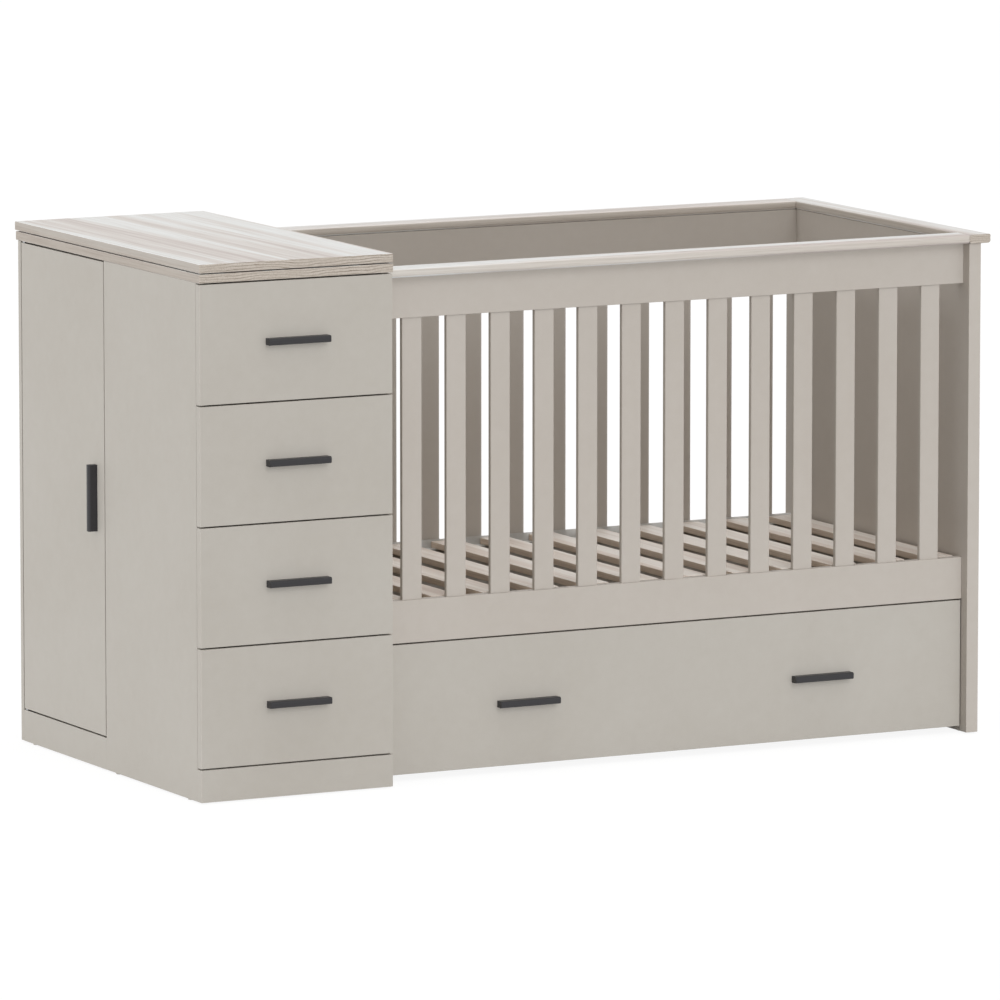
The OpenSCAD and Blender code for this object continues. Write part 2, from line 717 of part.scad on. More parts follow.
// The holes for a handle's screws in a front of thickness t
module handle_holes(t) for (s = [-1, 1]) translate([s * handle_pitch / 2, -past, 0])
    rod_y(screw_d + 2 * fit_gap, t + 2 * past);

module at_handle(k) translate([dresser_w / 2, 0, front_z(k) + front_h / 2]) children();

module at_crib_handles() for (s = [-1, 1])
    translate([rail_x[0] + (crib_l + s * crib_handle_pitch) / 2, crib_front_y[0],
        (crib_front_zz[0] + crib_front_zz[1]) / 2 - crib_handle_drop]) children();

// The door's handle stands upright on its left face, open towards the hinge
module at_door_handle() translate([0, door_y[0] + door_handle_in, (door_z[0] + door_z[1]) / 2])
    rotate([0, 90, -90]) children();

// ---- door ----

// Pocket for a hinge plate, from Z = 0 up by the plate's thickness
module hinge_pocket() slab(
    [hinge_x - hinge_plate_w / 2 - fit_gap, hinge_x + hinge_plate_w / 2 + fit_gap],
    [hinge_y + hinge_plate_w / 2 - hinge_plate_l - fit_gap, hinge_y + hinge_plate_w / 2 + fit_gap],
    [0, hinge_plate_t]);

// A hinge plate from Z = 0 up
module hinge_plate() slab([hinge_x - hinge_plate_w / 2, hinge_x + hinge_plate_w / 2],
    [hinge_y + hinge_plate_w / 2 - hinge_plate_l, hinge_y + hinge_plate_w / 2],
    [0, hinge_plate_t]);

// Fixed plate with its collar and pin, drawn for the lower edge and mirrored for the upper one
module pin_plate() {
    translate([0, 0, -hinge_plate_t]) hinge_plate();
    translate([hinge_x, hinge_y, 0]) {
        cylinder(d = hinge_plate_w, h = reveal - fit_gap);
        cylinder(d = hinge_pin_d, h = reveal + hinge_pin_l);
    }
}

module door_hinge_plates() steel() {
    translate([0, 0, plinth_h]) pin_plate();
    translate([0, 0, dresser_h]) mirror([0, 0, 1]) pin_plate();
}

module door_hinge_leaves() steel() for (z = [door_z[0], door_z[1] - hinge_plate_t])
    translate([0, 0, z]) difference() {
        hinge_plate();
        translate([hinge_x, hinge_y, -past])
            cylinder(d = hinge_pin_d + 2 * hinge_fit, h = hinge_plate_t + 2 * past);
    }

module cupboard_door() painted() difference() {
    slab([0, board_t], door_y, door_z);
    for (z = [door_z[0], door_z[1] - hinge_plate_t]) translate([0, 0, z]) hinge_pocket();
    for (z = [door_z[0], door_z[1] - hinge_pin_l - fit_gap])
        translate([hinge_x, hinge_y, z])
            cylinder(d = hinge_pin_d + 4 * fit_gap, h = hinge_pin_l + fit_gap);
    at_door_handle() handle_holes(board_t);
}

module door_handle() charcoal() at_door_handle() pull(board_t);

// ---- crib ----

module footboard() painted() difference() {
    slab(foot_x, foot_yy, [glide_h, cap_z[0]]);
    foot_bolt_bores();
}

// Left edges of the slats of a side
function slat_x(i) = rail_x[0] + slat_margin + i * slat_step;

// The slats of a side between y, grown by a clearance for their sockets
module slat_row(y, grow) {
    mid = (y[0] + y[1]) / 2;
    for (i = [0 : slat_n - 1])
        translate([slat_x(i) - grow, mid - slat_t / 2 - grow, low_rail_zz[1] - slat_in - grow])
            linear_extrude(top_rail_z[0] - low_rail_zz[1] + 2 * (slat_in + grow))
                round_rect(slat_w + 2 * grow, slat_t + 2 * grow, slat_r + grow);
}

module side_rail(y, z) painted() difference() {
    slab(rail_x, y, z);
    slat_row(y, fit_gap);
    dresser_bolt_bores();
    foot_bolt_bores();
    nuts(fit_gap, false);
}

module front_top_rail() side_rail(front_frame_y, top_rail_z);
module front_bottom_rail() side_rail(front_frame_y, low_rail_zz);
module back_top_rail() side_rail(back_frame_y, top_rail_z);
module back_bottom_rail() side_rail(back_frame_y, back_low_rail_zz);
module front_slats() painted() slat_row(front_frame_y, 0);
module back_slats() painted() slat_row(back_frame_y, 0);

// A cap along X, from the dresser's top board to the footboard's cap
module side_cap(y0) timber()
    translate([top_x[1], y0, cap_z[0]]) rotate([90, 0, 90])
        linear_extrude(end_cap_x[0] - top_x[1]) cap_section(cap_w);

module front_cap() side_cap(cap_y[0]);
module back_cap() side_cap(cap_y[1] - cap_w);

module end_cap() timber()
    translate([end_cap_x[0], cap_y[1], cap_z[0]]) rotate([90, 0, 0])
        linear_extrude(cap_y[1] - cap_y[0]) cap_section(end_cap_w);

module mattress_slats() timber() for (i = [0 : base_slat_n - 1]) {
    x = rail_x[0] + base_first_gap + i * base_step;
    slab([x, x + base_slat_w], base_y, base_zz);
}

// Section of an angle that carries the mattress base, with its upright leg on the line X = 0
// and reaching above the base by rise
module angle_section(rise) {
    square([angle_w, angle_t]);
    square([angle_t, angle_t + base_slat_t + rise]);
}

// An angle along a bottom rail's inner face at y
module angle_at(y) translate([rail_x[0], y, base_zz[0] - angle_t]) rotate([90, 0, 90])
    linear_extrude(crib_l) children();

module mattress_angles() steel() {
    angle_at(front_frame_y[1]) angle_section(-angle_drop);
    angle_at(back_frame_y[0]) mirror([1, 0]) angle_section(angle_rise);
}

// A rail bolt through a panel of thickness t, with the hexagon socket in its head
module socket_bolt(t) difference() {
    rail_bolt(t, 0);
    translate([-past, 0, 0]) rotate([0, 90, 0])
        cylinder(d = socket_d, h = past + socket_in, $fn = 6);
}

module frame_bolts() steel() {
    at_dresser_bolts() socket_bolt(board_t);
    at_foot_bolts() socket_bolt(foot_t);
}

module barrel_nuts() steel() nuts(0, true);

module glides() pale_plastic() for (p = [
        [board_t / 2, panel_y + glide_margin], [board_t / 2, drawer_bay_d - glide_margin],
        [dresser_w - board_t / 2, panel_y + glide_margin],
        [dresser_w - board_t / 2, back_y - glide_margin],
        [board_t / 2, back_y - glide_margin],
        [foot_x[0] + foot_t / 2, foot_yy[0] + glide_margin],
        [foot_x[0] + foot_t / 2, foot_yy[1] - glide_margin]])
    translate([p[0], p[1], 0]) cylinder(d = glide_d, h = glide_h);

// ---- crib drawer ----

module crib_drawer_front() painted() difference() {
    slab(crib_front_x, crib_front_y, crib_front_zz);
    floor_slot(crib_box_x, [crib_front_y[1], crib_front_y[1]], castor_h, crib_floor_t);
    at_crib_handles() handle_holes(board_t);
}

module crib_drawer_box() lining()
    drawer_walls(crib_box_x, crib_box_y, crib_box_z, crib_box_h, castor_h - crib_box_z,
        crib_floor_t);

module crib_drawer_bottom() lining()
    floor_panel(crib_box_x, crib_box_y, castor_h, crib_floor_t);

module crib_drawer_handles() charcoal() at_crib_handles() pull(board_t);

// Fork of a fixed castor round the origin of its axle, with the axle riveted in
module castor_fork() {
    half = wheel_w / 2 + fork_gap;
    axle_z = wheel_d / 2;
    top = castor_h + fit_gap - axle_z;
    for (x = [-half - fork_t, half]) translate([x, 0, 0]) rotate([90, 0, 90])
        linear_extrude(fork_t) {
            circle(axle_d);
            polygon([[-axle_d, 0], [axle_d, 0], [axle_d * 3, top], [-axle_d * 3, top]]);
        }
    slab([-half - fork_t - axle_d, half + fork_t + axle_d], [-axle_d * 3, axle_d * 3],
        [top - fork_t, top]);
    translate([-half - fork_t / 2, 0, 0]) rod_x(axle_d, 2 * half + fork_t);
}

module castor_forks() steel() for (x = castor_x, y = castor_y)
    translate([x, y, wheel_d / 2]) castor_fork();

// Half section of a wheel round the Y axis: a tread with rounded edges, a web and a hub
module wheel_section() difference() {
    union() {
        translate([0, -wheel_w / 2]) square([wheel_d / 2 - tread_r, wheel_w]);
        translate([0, -wheel_w / 2 + tread_r]) square([wheel_d / 2, wheel_w - 2 * tread_r]);
        for (y = [-1, 1]) translate([wheel_d / 2 - tread_r, y * (wheel_w / 2 - tread_r)])
            circle(tread_r);
    }
    for (y = [web_t / 2, -wheel_w / 2 - past]) translate([hub_d / 2, y])
        square([wheel_d / 2 - rim_t - hub_d / 2, wheel_w / 2 - web_t / 2 + past]);
    translate([0, -wheel_w / 2 - past]) square([axle_d / 2 + axle_fit, wheel_w + 2 * past]);
}

// A pair of castor wheels on one line across the drawer
module wheel_pair(y) plastic() for (x = castor_x)
    translate([x, y, wheel_d / 2]) rotate([0, 90, 0]) rotate_extrude() wheel_section();

module front_wheels() wheel_pair(castor_y[0]);
module rear_wheels() wheel_pair(castor_y[1]);

// ---- nodes ----

left_side_panel();
right_side_panel();
back_panel();
bottom_panel();
partition_panel();
front_plinth();
side_plinth();
cupboard_shelves();
shelf_pins();
dresser_top();
changer_top();
top_pegs();
runner_rails();
door_hinge_plates();
panel_cams();
footboard();
front_top_rail();
front_bottom_rail();
front_slats();
back_top_rail();
back_bottom_rail();
back_slats();
front_cap();
back_cap();
end_cap();
mattress_slats();
mattress_angles();
frame_bolts();
barrel_nuts();
glides();
drawer_front(1);  // drawer_1_front
drawer_box(1);  // drawer_1_box
drawer_bottom(1);  // drawer_1_bottom
drawer_handle(1);  // drawer_1_handle
drawer_runners(1);  // drawer_1_runners
drawer_front(2);  // drawer_2_front
drawer_box(2);  // drawer_2_box
drawer_bottom(2);  // drawer_2_bottom
drawer_handle(2);  // drawer_2_handle
drawer_runners(2);  // drawer_2_runners
drawer_front(3);  // drawer_3_front
drawer_box(3);  // drawer_3_box
drawer_bottom(3);  // drawer_3_bottom
drawer_handle(3);  // drawer_3_handle
drawer_runners(3);  // drawer_3_runners
drawer_front(4);  // drawer_4_front
drawer_box(4);  // drawer_4_box
drawer_bottom(4);  // drawer_4_bottom
drawer_handle(4);  // drawer_4_handle
drawer_runners(4);  // drawer_4_runners
crib_drawer_front();
crib_drawer_box();
crib_drawer_bottom();
crib_drawer_handles();
castor_forks();
front_wheels();
rear_wheels();
cupboard_door();
door_handle();
door_hinge_leaves();
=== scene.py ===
"""Crib with an attached changing dresser: materials, edge rounding, light and camera.
Metres, in the part's own frame: X along the front, Y to the back, Z up from the floor."""
import json
import math

import bpy
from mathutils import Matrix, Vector


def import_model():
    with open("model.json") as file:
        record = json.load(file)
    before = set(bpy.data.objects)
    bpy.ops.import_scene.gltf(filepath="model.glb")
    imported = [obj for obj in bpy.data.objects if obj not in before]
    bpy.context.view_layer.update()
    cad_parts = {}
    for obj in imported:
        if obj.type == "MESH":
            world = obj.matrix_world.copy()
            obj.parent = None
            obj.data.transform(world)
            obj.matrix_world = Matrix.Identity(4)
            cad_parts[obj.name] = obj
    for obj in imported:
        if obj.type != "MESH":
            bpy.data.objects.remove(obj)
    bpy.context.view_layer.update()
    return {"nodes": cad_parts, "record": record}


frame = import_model()
nodes = frame["nodes"]


def srgb(r, g, b):
    """A colour given as 0-255 values, as the shader's linear numbers."""
    def linear(c):
        c /= 255
        return c / 12.92 if c <= 0.04045 else ((c + 0.055) / 1.055) ** 2.4
    return (linear(r), linear(g), linear(b), 1)


# ---- node helpers ----

class Shader:
    """A material with a Principled shader and short calls for the nodes that feed it."""

    def __init__(self, name, **sockets):
        self.mat = bpy.data.materials.new(name)
        self.mat.use_nodes = True
        self.tree = self.mat.node_tree
        self.bsdf = self.tree.nodes["Principled BSDF"]
        for key, value in sockets.items():
            self.bsdf.inputs[key.replace("_", " ")].default_value = value
        self.coord = self.tree.nodes.new("ShaderNodeTexCoord")

    def link(self, a, b):
        self.tree.links.new(a, b)

    def mapped(self, scale, source=None):
        """The object's coordinates, or the given ones, times scale."""
        n = self.tree.nodes.new("ShaderNodeMapping")
        n.inputs["Scale"].default_value = scale
        self.link(source or self.coord.outputs["Object"], n.inputs["Vector"])
        return n.outputs["Vector"]

    def noise(self, vector, scale=1.0, detail=3.0, rough=0.5, out="Fac"):
        """A noise texture, as a value or as a colour."""
        n = self.tree.nodes.new("ShaderNodeTexNoise")
        n.inputs["Scale"].default_value = scale
        n.inputs["Detail"].default_value = detail
        n.inputs["Roughness"].default_value = rough
        self.link(vector, n.inputs["Vector"])
        return n.outputs[out]

    def ramp(self, fac, stops):
        """A colour from fac, by stops of a place and a colour."""
        n = self.tree.nodes.new("ShaderNodeValToRGB")
        e = n.color_ramp.elements
        while len(e) < len(stops):
            e.new(0.5)
        for item, (place, colour) in zip(e, stops):
            item.position = place
            item.color = colour
        self.link(fac, n.inputs["Fac"])
        return n.outputs["Color"]

    def mix(self, fac, a, b, blend="MIX"):
        """Two colours mixed by fac. Each of the three is a value or an output."""
        n = self.tree.nodes.new("ShaderNodeMix")
        n.data_type = "RGBA"
        n.blend_type = blend
        for socket, value in ((n.inputs[0], fac), (n.inputs[6], a), (n.inputs[7], b)):
            if isinstance(value, (float, int, tuple)):
                socket.default_value = value
            else:
                self.link(value, socket)
        return n.outputs[2]

    def math(self, op, a, b=0.0, c=0.0):
        """One step of arithmetic. Each of its terms is a value or an output."""
        n = self.tree.nodes.new("ShaderNodeMath")
        n.operation = op
        for socket, value in zip(n.inputs, (a, b, c)):
            if isinstance(value, (float, int)):
                socket.default_value = value
            else:
                self.link(value, socket)
        return n.outputs[0]

    def blend(self, a, share, b):
        """A share of a and the rest of b."""
        return self.math("MULTIPLY_ADD", a, share, self.math("MULTIPLY", b, 1 - share))

    def steep(self, vector, name, limit, operation="GREATER_THAN"):
        """1 where one part of a vector, without its sign, is over the limit or under it."""
        return self.math(operation, self.math("ABSOLUTE", self.axis(vector, name)), limit)

    def span(self, fac, low, high):
        """fac from 0 to 1, as low to high."""
        n = self.tree.nodes.new("ShaderNodeMapRange")
        n.inputs["To Min"].default_value = low
        n.inputs["To Max"].default_value = high
        self.link(fac, n.inputs["Value"])
        return n.outputs["Result"]

    def axis(self, vector, name):
        """One part of a vector: X, Y or Z."""
        n = self.tree.nodes.new("ShaderNodeSeparateXYZ")
        self.link(vector, n.inputs[0])
        return n.outputs[name]

    def offset(self, vector, by, amount):
        """The vector moved by amount times another."""
        n = self.tree.nodes.new("ShaderNodeVectorMath")
        n.operation = "MULTIPLY_ADD"
        self.link(by, n.inputs[0])
        n.inputs[1].default_value = (amount, amount, amount)
        self.link(vector, n.inputs[2])
        return n.outputs[0]

    def bump(self, height, strength, distance, normal=None):
        """The normal of a bumpy surface, on top of another normal if one is given."""
        n = self.tree.nodes.new("ShaderNodeBump")
        n.inputs["Strength"].default_value = strength
        n.inputs["Distance"].default_value = distance
        self.link(height, n.inputs["Height"])
        if normal is not None:
            self.link(normal, n.inputs["Normal"])
        return n.outputs["Normal"]

    def set(self, **links):
        """Feeds the Principled shader's sockets and gives the finished material."""
        for key, value in links.items():
            self.link(value, self.bsdf.inputs[key.replace("_", " ")])
        return self.mat


def seen(tree):
    """1 where the camera, a reflection or a refraction looks."""
    path = tree.nodes.new("ShaderNodeLightPath")
    result = path.outputs["Is Camera Ray"]
    for kind in ("Is Glossy Ray", "Is Transmission Ray"):
        most = tree.nodes.new("ShaderNodeMath")
        most.operation = "MAXIMUM"
        tree.links.new(result, most.inputs[0])
        tree.links.new(path.outputs[kind], most.inputs[1])
        result = most.outputs[0]
    return result


# ---- materials ----

WHITE = srgb(255, 255, 255)
FIBRE = srgb(206, 197, 190)
# Lines of the timber's edge strips for each metre of height, and how many lines they drift
# and ripple
LINES_PER_METRE, LINE_DRIFT, LINE_RIPPLE = 215, 5.0, 1.5


def paint(name, dark, light):
    """Satin warm grey paint: faint clouding, a fine orange peel and a rolled nap."""
    s = Shader(name, Specular_IOR_Level=0.35)
    obj = s.coord.outputs["Object"]
    cloud = s.noise(obj, 2.3, 3, 0.55)
    fine = s.noise(obj, 46, 4, 0.6)
    colour = s.ramp(s.blend(fine, 0.35, cloud), [(0.30, dark), (0.72, light)])
    peel = s.noise(obj, 620, 2, 0.5)
    nap = s.noise(obj, 1500, 2, 0.6)
    normal = s.bump(peel, 0.10, 0.0006)
    normal = s.bump(nap, 0.06, 0.0003, normal)
    rough = s.span(s.noise(obj, 19, 4, 0.6), 0.46, 0.60)
    return s.set(Base_Color=colour, Roughness=rough, Normal=normal)


def timber(name, along, tones, strip_tones, side):
    """Pale washed timber with its figure along X or Y. Faces across that direction show an edge
    strip with fine wavy lines, and the other upright faces are toned by side, a painted tone for
    how light falls on them. Each set of tones has the darkest first."""
    s = Shader(name, Specular_IOR_Level=0.4)
    place = s.coord.outputs["Object"]

    def stretch(across, length):
        return (length, across, across) if along == "X" else (across, length, across)

    warp = s.noise(s.mapped(stretch(5, 1.1)), 1.0, 2, 0.5, out="Color")
    wavy = s.offset(place, warp, 0.02)
    band = s.noise(s.mapped(stretch(17, 0.5), source=wavy), 1.0, 2, 0.5)
    streak = s.noise(s.mapped(stretch(70, 1.3), source=wavy), 1.0, 3, 0.55)
    fibre = s.noise(s.mapped(stretch(420, 6), source=wavy), 1.0, 3, 0.6)
    figure = s.blend(band, 0.64, streak)
    deep, mid, pale, wash = tones
    colour = s.ramp(figure, [(0.37, deep), (0.46, mid), (0.56, pale), (0.66, wash)])
    grain = s.ramp(fibre, [(0.30, FIBRE), (0.54, WHITE)])
    colour = s.mix(0.34, colour, grain, "MULTIPLY")

    normal = s.coord.outputs["Normal"]
    # Upright faces other than the strips take the side tone: painted shade on the boards and
    # caps, painted light on the base slats
    upright = s.steep(normal, "Z", 0.5, "LESS_THAN")
    edge = s.mix(0.6, s.mix(0.5, colour, side), s.mix(0.6, side, grain, "MULTIPLY"))
    colour = s.mix(upright, colour, edge)

    drift = s.noise(s.mapped((6, 6, 12)), 1.0, 2, 0.5)
    ripple = s.noise(s.mapped((24, 24, 60)), 1.0, 3, 0.6)
    lines = s.math("MULTIPLY_ADD", drift, LINE_DRIFT, s.math("MULTIPLY", ripple, LINE_RIPPLE))
    lines = s.math("MULTIPLY_ADD", s.axis(place, "Z"), LINES_PER_METRE, lines)
    lines = s.math("PINGPONG", lines, 0.5)
    line, ground, gloss = strip_tones
    strip = s.ramp(lines, [(0.02, line), (0.13, ground), (0.46, gloss)])
    faint = s.span(s.noise(s.mapped((14, 14, 120)), 1.0, 2, 0.5), -0.7, 1.6)
    strip = s.mix(faint, strip, ground)
    strip = s.mix(0.5, strip, grain, "MULTIPLY")
    colour = s.mix(s.steep(normal, along, 0.6), colour, strip)

    height = s.blend(fibre, 0.5, streak)
    rough = s.span(streak, 0.58, 0.44)
    return s.set(Base_Color=colour, Roughness=rough, Normal=s.bump(height, 0.30, 0.0005))


def lining():
    """Grey-beige foil on the drawers' boards, with a faint linen grain; its tone is darkened as
    painted shade, so the gaps and the space under the mattress read dark.
    """
    s = Shader("drawer_lining", Specular_IOR_Level=0.3)
    weft = s.noise(s.mapped((900, 60, 900)), 1.0, 2, 0.5)
    warp = s.noise(s.mapped((60, 900, 60)), 1.0, 2, 0.5)
    weave = s.blend(weft, 0.5, warp)
    # Foil tones kept dark as painted shade for the gaps and the space under the mattress
    colour = s.ramp(weave, [(0.35, srgb(126, 115, 103)), (0.65, srgb(136, 126, 114))])
    rough = s.span(s.noise(s.coord.outputs["Object"], 30, 3), 0.5, 0.66)
    return s.set(Base_Color=colour, Roughness=rough, Normal=s.bump(weave, 0.2, 0.0003))


def charcoal():
    """Powder-coated metal, charcoal with a fine sparkle of texture."""
    s = Shader("charcoal_metal", Metallic=0.35, Specular_IOR_Level=0.5)
    obj = s.coord.outputs["Object"]
    speck = s.noise(obj, 1900, 3, 0.7)
    colour = s.ramp(speck, [(0.3, srgb(46, 45, 47)), (0.7, srgb(60, 59, 61))])
    rough = s.span(s.noise(obj, 160, 3), 0.38, 0.48)
    return s.set(Base_Color=colour, Roughness=rough, Normal=s.bump(speck, 0.25, 0.0002))


def zinc(name, metallic, dark, light):
    """Zinc-plated steel with a drawn grain and cloudy plating, bright or dull by metallic."""
    s = Shader(name, Metallic=metallic)
    obj = s.coord.outputs["Object"]
    cloud = s.noise(obj, 30, 3, 0.5)
    drawn = s.noise(s.mapped((1400, 60, 1400)), 1.0, 2, 0.5)
    colour = s.ramp(cloud, [(0.3, dark), (0.7, light)])
    rough = s.span(drawn, 0.24, 0.42)
    return s.set(Base_Color=colour, Roughness=rough, Normal=s.bump(drawn, 0.15, 0.0002))


def moulded(name, dark, light):
    """Moulded plastic with a fine spark-eroded texture."""
    s = Shader(name, Specular_IOR_Level=0.4)
    obj = s.coord.outputs["Object"]
    grain = s.noise(obj, 1700, 3, 0.65)
    colour = s.ramp(s.noise(obj, 35, 3), [(0.3, dark), (0.7, light)])
    rough = s.span(grain, 0.45, 0.62)
    return s.set(Base_Color=colour, Roughness=rough, Normal=s.bump(grain, 0.25, 0.0003))


# Tones of the timber: sets for its faces, with the darkest first, and single ones for its sides,
# which are painted light and shade for how light falls on them
WASHED = (srgb(194, 184, 179), srgb(212, 206, 201), srgb(227, 228, 227), srgb(224, 223, 221))
BASE_SLAT = (srgb(208, 193, 181), srgb(218, 206, 195), srgb(231, 224, 216), srgb(224, 215, 206))
# Side tone of the base slats: painted light that lifts their sides
PAINTED_LIT_BASE_SIDE = srgb(236, 216, 196)
STRIP = (srgb(108, 92, 78), srgb(186, 176, 164), srgb(203, 194, 184))
# Side tone of the front cap's nose: painted light, lighter than the painted shade on the other
# timber sides
PAINTED_LIT_NOSE = srgb(206, 199, 190)
# Side tone of the top boards and caps: painted shade, darker than their tops
PAINTED_SHADED_SIDE = srgb(174, 164, 152)

finish = {
    "painted_board": paint("painted_board", srgb(181, 175, 166), srgb(188, 183, 175)),
    "painted_wood": paint("painted_wood", srgb(185, 177, 168), srgb(192, 185, 177)),
    # The front cap's copy of the timber, its nose painted lighter than the back cap's shaded nose
    "timber_painted_lit_nose": timber("timber_of_the_front_cap_painted_lit_nose", "X", WASHED, STRIP, PAINTED_LIT_NOSE),
    "timber_x": timber("timber_along_x", "X", WASHED, STRIP, PAINTED_SHADED_SIDE),
    "timber_y": timber("timber_along_y", "Y", WASHED, STRIP, PAINTED_SHADED_SIDE),
    "timber_base": timber("timber_of_the_base", "Y", BASE_SLAT, BASE_SLAT[:3], PAINTED_LIT_BASE_SIDE),
    "drawer_lining": lining(),
    "charcoal_metal": charcoal(),
    "zinc_steel": zinc("zinc_steel", 1.0, srgb(172, 174, 177), srgb(192, 193, 195)),
    "dull_steel": zinc("dull_steel", 0.1, srgb(190, 188, 184), srgb(204, 202, 198)),
    "black_plastic": moulded("black_plastic", srgb(34, 34, 36), srgb(44, 44, 46)),
    "pale_plastic": moulded("pale_plastic", srgb(186, 180, 171), srgb(196, 190, 181)),
}
# Nodes whose finish isn't their slot's own
# front_cap and back_cap take lit and shaded copies of one timber: painted light on the front
# cap's nose, painted shade on the back cap's
own_finish = {"front_cap": "timber_painted_lit_nose", "back_cap": "timber_x", "mattress_slats": "timber_base",
              "mattress_angles": "dull_steel", "footboard": "painted_wood"}
for side in ("front", "back"):
    for piece in ("top_rail", "bottom_rail", "slats"):
        own_finish[f"{side}_{piece}"] = "painted_wood"


# ---- CAD nodes: finish and rounded edges ----

# Corners nearer to each other than this become one
WELD = 2e-5
# Edges sharper and longer than these are rounded
ROUNDED_ANGLE, ROUNDED_LENGTH = math.radians(40), 0.004
# Edges flatter than this are shaded smooth
SMOOTH_ANGLE = math.radians(50)
# Width of the rounding by material slot
EDGE_WIDTH = {"painted_board": 0.0008, "timber": 0.0010, "drawer_lining": 0.0005,
              "charcoal_metal": 0.0004}


def geometry_group(name):
    """An empty geometry node group, with its input and output nodes."""
    g = bpy.data.node_groups.new(name, "GeometryNodeTree")
    g.interface.new_socket("Geometry", in_out="INPUT", socket_type="NodeSocketGeometry")
    g.interface.new_socket("Geometry", in_out="OUTPUT", socket_type="NodeSocketGeometry")
    return g, g.nodes.new("NodeGroupInput"), g.nodes.new("NodeGroupOutput")


def compare(g, value, operation, limit):
    """A yes or no by comparing a value with a limit."""
    n = g.nodes.new("FunctionNodeCompare")
    n.data_type = "FLOAT"
    n.operation = operation
    g.links.new(value, n.inputs["A"])
    n.inputs["B"].default_value = limit
    return n.outputs["Result"]


def mark_edges():
    """Joins the faces and marks the long sharp edges for rounding, so bores keep their rims."""
    g, start, end = geometry_group("mark_edges")
    merge = g.nodes.new("GeometryNodeMergeByDistance")
    merge.inputs["Distance"].default_value = WELD
    plain = g.nodes.new("GeometryNodeRemoveAttribute")
    plain.inputs["Name"].default_value = "custom_normal"
    angle = g.nodes.new("GeometryNodeInputMeshEdgeAngle").outputs["Unsigned Angle"]
    ends = g.nodes.new("GeometryNodeInputMeshEdgeVertices")
    span = g.nodes.new("ShaderNodeVectorMath")
    span.operation = "DISTANCE"
    g.links.new(ends.outputs["Position 1"], span.inputs[0])
    g.links.new(ends.outputs["Position 2"], span.inputs[1])
    both = g.nodes.new("FunctionNodeBooleanMath")
    both.operation = "AND"
    sharp = compare(g, angle, "GREATER_THAN", ROUNDED_ANGLE)
    long = compare(g, span.outputs["Value"], "GREATER_THAN", ROUNDED_LENGTH)
    g.links.new(sharp, both.inputs[0])
    g.links.new(long, both.inputs[1])
    store = g.nodes.new("GeometryNodeStoreNamedAttribute")
    store.data_type = "FLOAT"
    store.domain = "EDGE"
    store.inputs["Name"].default_value = "bevel_weight_edge"
    g.links.new(start.outputs[0], merge.inputs["Geometry"])
    g.links.new(merge.outputs[0], plain.inputs["Geometry"])
    g.links.new(plain.outputs[0], store.inputs["Geometry"])
    g.links.new(both.outputs[0], store.inputs["Value"])
    g.links.new(store.outputs[0], end.inputs[0])
    return g


def smooth_by_angle():
    """Smooth shading, with sharp edges where faces meet at more than the smooth angle."""
    g, start, end = geometry_group("smooth_by_angle")
    faces = g.nodes.new("GeometryNodeSetShadeSmooth")
    faces.domain = "FACE"
    edges = g.nodes.new("GeometryNodeSetShadeSmooth")
    edges.domain = "EDGE"
    angle = g.nodes.new("GeometryNodeInputMeshEdgeAngle").outputs["Unsigned Angle"]
    g.links.new(start.outputs[0], faces.inputs["Geometry"])
    g.links.new(faces.outputs[0], edges.inputs["Geometry"])
    g.links.new(compare(g, angle, "LESS_THAN", SMOOTH_ANGLE), edges.inputs["Shade Smooth"])
    g.links.new(edges.outputs[0], end.inputs[0])
    return g


marker = mark_edges()
smoother = smooth_by_angle()


def round_edges(obj, width):
    """Rounds a CAD node's long sharp edges and leaves its flat faces flat."""
    obj.modifiers.new("marked", "NODES").node_group = marker
    bevel = obj.modifiers.new("edges", "BEVEL")
    bevel.width = width
    bevel.segments = 2
    bevel.limit_method = "WEIGHT"
    bevel.use_clamp_overlap = False
    obj.modifiers.new("smoothed", "NODES").node_group = smoother
    shade = obj.modifiers.new("shading", "WEIGHTED_NORMAL")
    shade.keep_sharp = True
    shade.weight = 100


for part in frame["record"]["subparts"]:
    node, slot = part["node"], part["material_slot"]
    key = own_finish.get(node, "timber_y" if slot == "timber" else slot)
    obj = nodes[node]
    obj.data.materials.clear()
    obj.data.materials.append(finish[key])
    if slot in EDGE_WIDTH:
        round_edges(obj, EDGE_WIDTH[slot])


# ---- floor, light and camera ----

# Half the floor's width and its depth under the part, in metres
FLOOR_REACH, FLOOR_DEPTH = 90, 0.0004
# The floor's own light, and its share of what the camera sees of the floor
GLOW, GLOW_SHARE = 1.2, 0.75
# Cool suns in a warm surrounding
SUN_COLOUR = (0.985, 1.015, 1.055)
WORLD_COLOUR = (1.0, 0.97, 0.925, 1)
# Camera: sensor and lens in millimetres, distances in metres, angles in degrees
SENSOR, LENS, FAR_END = 36, 334.15, 300
CAMERA_PLACE = (-7.9091, -15.2094, 2.8800)
LOOKS_DOWN, TURNS_RIGHT = 8.0673, 27.4435


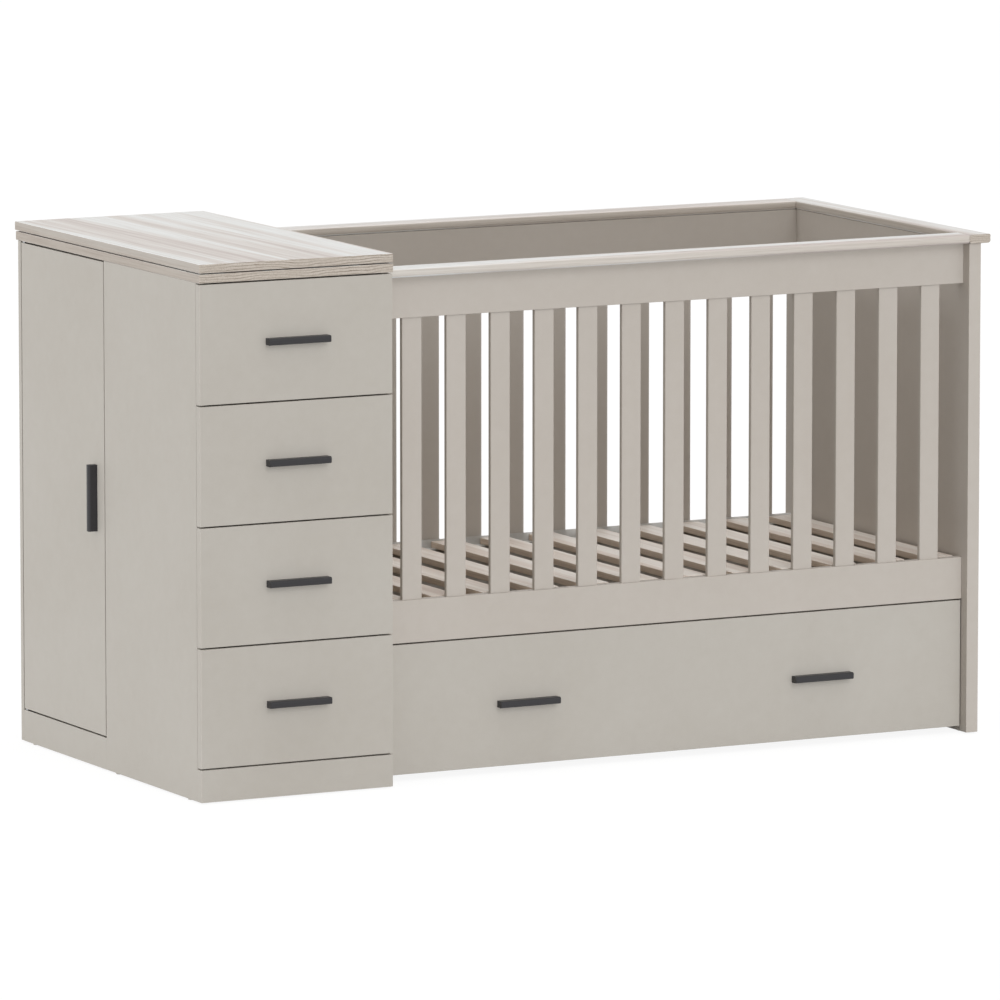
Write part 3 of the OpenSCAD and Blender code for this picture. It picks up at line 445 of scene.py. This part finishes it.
def floor():
    """A matt floor just under the part, with a glow that takes it into the white background."""
    mesh = bpy.data.meshes.new("floor")
    r = FLOOR_REACH
    mesh.from_pydata([(-r, -r, 0), (r, -r, 0), (r, r, 0), (-r, r, 0)], [], [(0, 1, 2, 3)])
    obj = bpy.data.objects.new("floor", mesh)
    obj.location.z = -FLOOR_DEPTH
    bpy.context.scene.collection.objects.link(obj)
    s = Shader("floor", Specular_IOR_Level=0.0)
    tone = s.noise(s.coord.outputs["Object"], 3, 2)
    s.set(Base_Color=s.ramp(tone, [(0.3, srgb(186, 186, 186)), (0.7, srgb(190, 190, 190))]),
          Roughness=s.span(tone, 0.85, 0.95))
    glow = s.tree.nodes.new("ShaderNodeEmission")
    glow.inputs["Strength"].default_value = GLOW
    mix = s.tree.nodes.new("ShaderNodeMixShader")
    s.link(s.math("MULTIPLY", seen(s.tree), GLOW_SHARE), mix.inputs[0])
    s.link(s.bsdf.outputs[0], mix.inputs[1])
    s.link(glow.outputs[0], mix.inputs[2])
    s.link(mix.outputs[0], s.tree.nodes["Material Output"].inputs["Surface"])
    mesh.materials.append(s.mat)


def sun(name, azimuth, elevation, strength, spread):
    """A soft light of even strength that leaves no glare on flat tops. Azimuth 0 is the front
    and 90 the left; all in degrees."""
    data = bpy.data.lights.new(name, "SUN")
    data.energy = strength
    data.angle = math.radians(spread)
    data.color = SUN_COLOUR
    obj = bpy.data.objects.new(name, data)
    obj.visible_glossy = False
    a, e = math.radians(azimuth), math.radians(elevation)
    aim = Vector((math.sin(a) * math.cos(e), math.cos(a) * math.cos(e), -math.sin(e)))
    obj.rotation_euler = aim.to_track_quat("-Z", "Y").to_euler()
    bpy.context.scene.collection.objects.link(obj)


def world(strength):
    """Even light from all round, with a white background where the camera looks."""
    w = bpy.data.worlds.new("studio")
    bpy.context.scene.world = w
    w.use_nodes = True
    tree = w.node_tree
    tree.nodes.clear()
    light = tree.nodes.new("ShaderNodeBackground")
    light.inputs["Color"].default_value = WORLD_COLOUR
    light.inputs["Strength"].default_value = strength
    backdrop = tree.nodes.new("ShaderNodeBackground")
    backdrop.inputs["Color"].default_value = WHITE
    mix = tree.nodes.new("ShaderNodeMixShader")
    tree.links.new(seen(tree), mix.inputs[0])
    tree.links.new(light.outputs[0], mix.inputs[1])
    tree.links.new(backdrop.outputs[0], mix.inputs[2])
    out = tree.nodes.new("ShaderNodeOutputWorld")
    tree.links.new(mix.outputs[0], out.inputs["Surface"])


def camera():
    """A long lens from the front left, a little above the part."""
    data = bpy.data.cameras.new("camera")
    data.sensor_width = SENSOR
    data.lens = LENS
    data.clip_end = FAR_END
    obj = bpy.data.objects.new("camera", data)
    obj.location = CAMERA_PLACE
    obj.rotation_euler = (math.radians(90 - LOOKS_DOWN), 0, math.radians(-TURNS_RIGHT))
    bpy.context.scene.collection.objects.link(obj)
    bpy.context.scene.camera = obj


floor()
world(0.57)
sun("front", 0, 0.6, 0.94, 1.2)
sun("upper front", 0, 30, 0.60, 30)
sun("left", 90, 1.2, 1.055, 2)
sun("upper left", 90, 8, 0.38, 4)
sun("back", 180, 2, 1.08, 4)
sun("right", 270, 2, 1.08, 4)
sun("overhead", 0, 90, 0.88, 25)
camera()
bpy.context.scene.view_settings.view_transform = "Standard"
